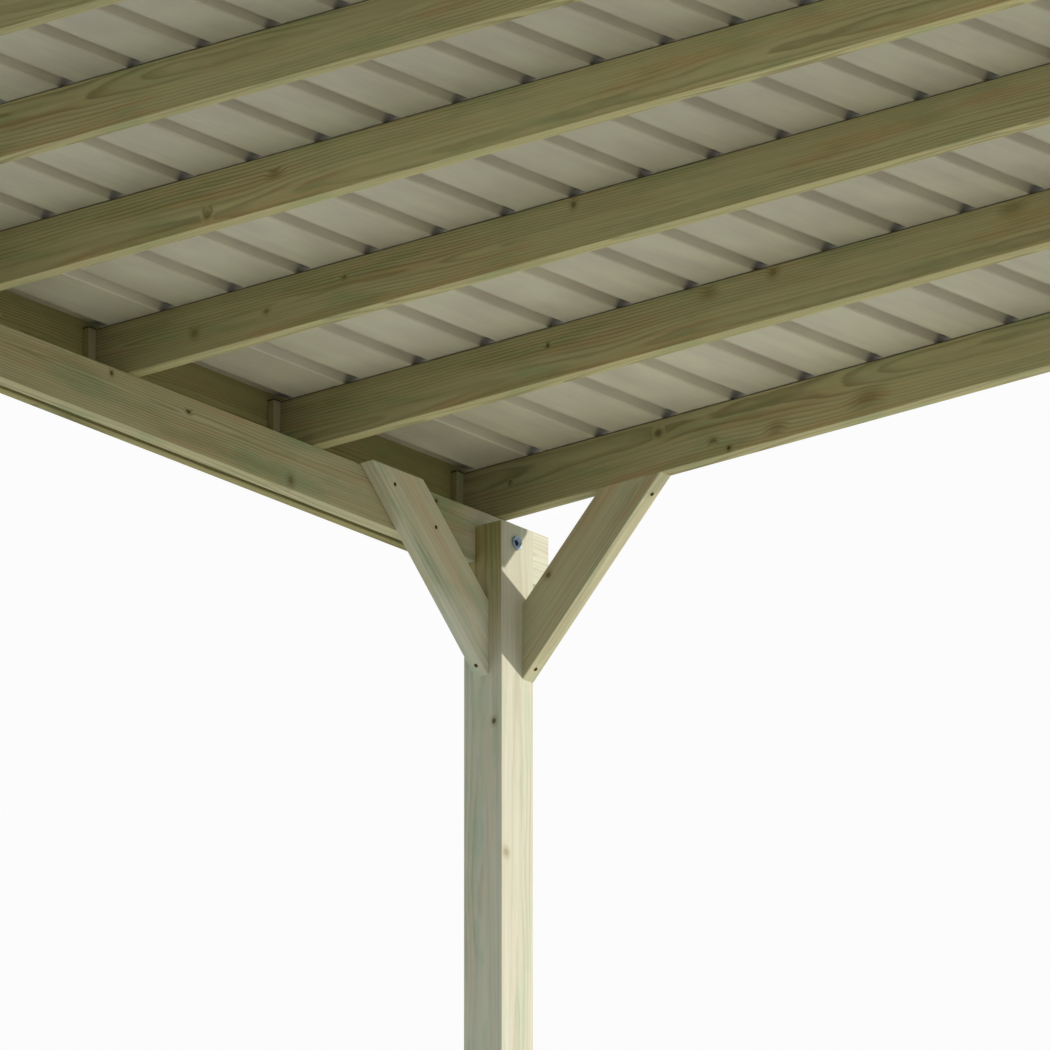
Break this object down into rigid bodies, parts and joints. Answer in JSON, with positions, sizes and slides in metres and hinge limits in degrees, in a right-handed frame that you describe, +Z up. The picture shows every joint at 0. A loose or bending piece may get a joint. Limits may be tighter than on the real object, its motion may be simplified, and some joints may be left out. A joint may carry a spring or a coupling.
{
  "type": "carport",
  "caption": "Open timber double carport on braced posts, with edge beams, cross purlins and a level roof of ribbed steel sheets.",
  "frame": {"origin": "centre of the plan, on the ground under the posts' feet", "axes": "+Z up; Y along the beams and the sheets' ribs, +Y to the end seen in the picture; X across along the purlins, -X to the side seen in the picture"},
  "size_m": [6.261, 4.96, 2.385],
  "materials": {
    "post_wood": "planed, pressure-impregnated, bare",
    "frame_wood": "planed, pressure-impregnated, bare",
    "brace_wood": "planed, pressure-impregnated, bare",
    "fascia_wood": "planed, pressure-impregnated, bare",
    "roof_sheet": "satin coil coating"
  },
  "bodies": {
    "root": {"post_front_left": "post_wood", "post_middle_left": "post_wood", "post_rear_left": "post_wood", "beam_left": "frame_wood", "beam_brace_front_left": "brace_wood", "beam_brace_middle_front_left": "brace_wood", "beam_brace_middle_rear_left": "brace_wood", "beam_brace_rear_left": "brace_wood", "purlin_brace_front_left": "brace_wood", "purlin_brace_rear_left": "brace_wood", "fascia_left": "fascia_wood", "fascia_blocks_left": "frame_wood", "post_front_right": "post_wood", "post_middle_right": "post_wood", "post_rear_right": "post_wood", "beam_right": "frame_wood", "beam_brace_front_right": "brace_wood", "beam_brace_middle_front_right": "brace_wood", "beam_brace_middle_rear_right": "brace_wood", "beam_brace_rear_right": "brace_wood", "purlin_brace_front_right": "brace_wood", "purlin_brace_rear_right": "brace_wood", "fascia_right": "fascia_wood", "fascia_blocks_right": "frame_wood", "purlin_1": "frame_wood", "purlin_2": "frame_wood", "purlin_3": "frame_wood", "purlin_4": "frame_wood", "purlin_5": "frame_wood", "purlin_6": "frame_wood", "purlin_7": "frame_wood", "purlin_8": "frame_wood", "roof_sheet_1": "roof_sheet", "roof_sheet_2": "roof_sheet", "roof_sheet_3": "roof_sheet", "roof_sheet_4": "roof_sheet", "roof_sheet_5": "roof_sheet", "roof_sheet_6": "roof_sheet"}
  },
  "joints": []
}
